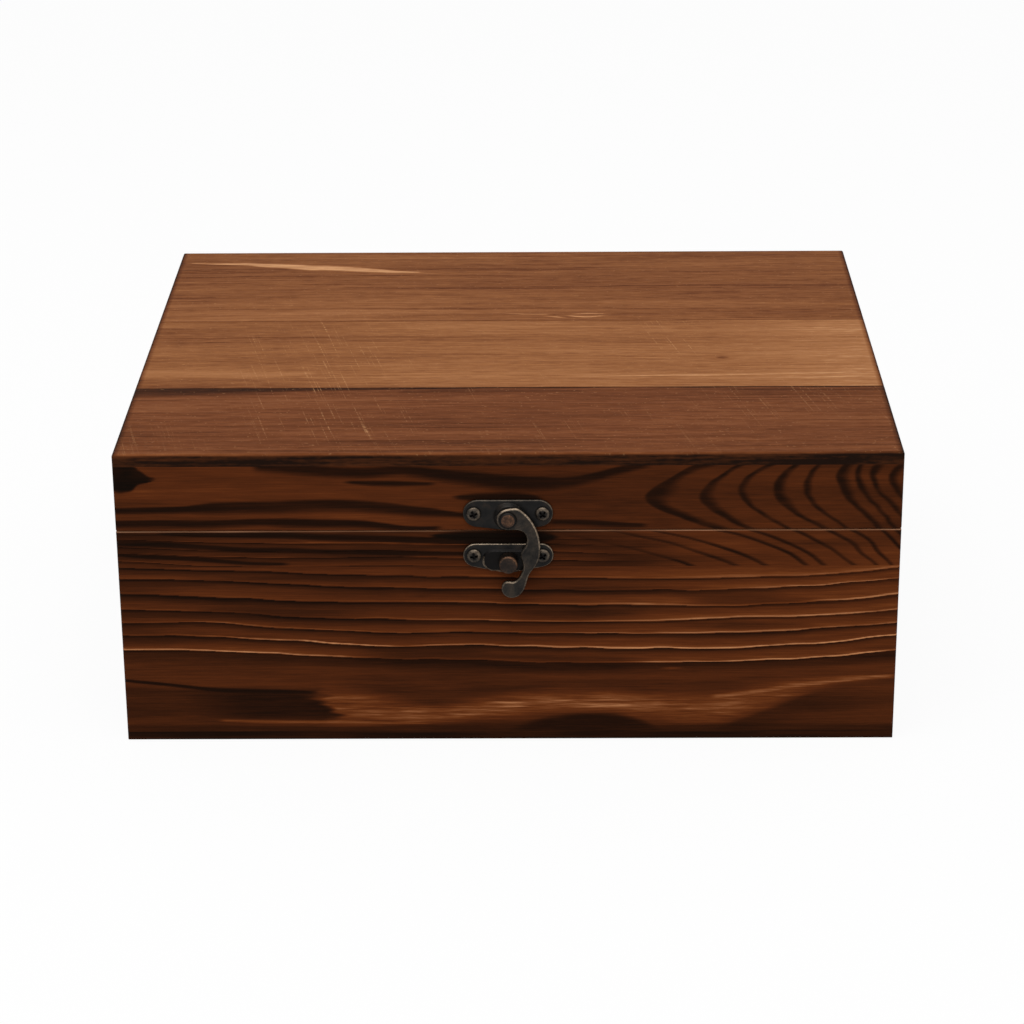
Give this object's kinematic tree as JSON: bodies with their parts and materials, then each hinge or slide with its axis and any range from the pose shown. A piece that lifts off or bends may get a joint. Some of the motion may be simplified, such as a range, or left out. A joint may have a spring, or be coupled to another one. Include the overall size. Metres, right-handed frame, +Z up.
{
  "type": "wooden storage box",
  "caption": "Low rectangular wooden box with a hinged lid and a swing-hook hasp, in torched and brushed softwood, for papers and keepsakes.",
  "frame": {"origin": "middle of the underside of the bottom panel, on the surface that the box stands on", "axes": "+X to the right along the front, +Y from the front to the back, +Z up"},
  "size_m": [0.24, 0.2149, 0.0961],
  "materials": {
    "torched_wood": "torched and brushed softwood, dark grain lines, satin",
    "lid_top_wood": "torched and brushed softwood, lighter, satin",
    "antique_bronze": "antique bronze, worn at the edges"
  },
  "bodies": {
    "base": {"base_front_lower_board": "torched_wood", "base_front_upper_board": "torched_wood", "base_back_board": "torched_wood", "base_left_board": "torched_wood", "base_right_board": "torched_wood", "base_bottom_panel": "torched_wood", "catch_plate": "antique_bronze", "catch_plate_screws": "antique_bronze", "catch_stud": "antique_bronze", "left_hinge_base_leaf": "antique_bronze", "left_hinge_base_screws": "antique_bronze", "left_hinge_pin": "antique_bronze", "right_hinge_base_leaf": "antique_bronze", "right_hinge_base_screws": "antique_bronze", "right_hinge_pin": "antique_bronze"},
    "lid": {"lid_front_rail": "torched_wood", "lid_back_rail": "torched_wood", "lid_left_rail": "torched_wood", "lid_right_rail": "torched_wood", "lid_top_front_board": "lid_top_wood", "lid_top_middle_board": "lid_top_wood", "lid_top_back_board": "lid_top_wood", "hasp_plate": "antique_bronze", "hasp_plate_screws": "antique_bronze", "hasp_rivet": "antique_bronze", "left_hinge_lid_leaf": "antique_bronze", "left_hinge_lid_screws": "antique_bronze", "right_hinge_lid_leaf": "antique_bronze", "right_hinge_lid_screws": "antique_bronze"},
    "hook": {"hasp_hook": "antique_bronze"}
  },
  "joints": [
    {"name": "lid_hinge", "type": "hinge", "parent": "base", "child": "lid", "pos_m": [0, 0.1048, 0.07095], "axis": [-1, 0, 0], "range_deg": [0, 180]},
    {"name": "hook_swing", "type": "hinge", "parent": "lid", "child": "hook", "pos_m": [0, -0.1055, 0.07585], "axis": [0, -1, 0], "range_deg": [0, 290]}
  ]
}
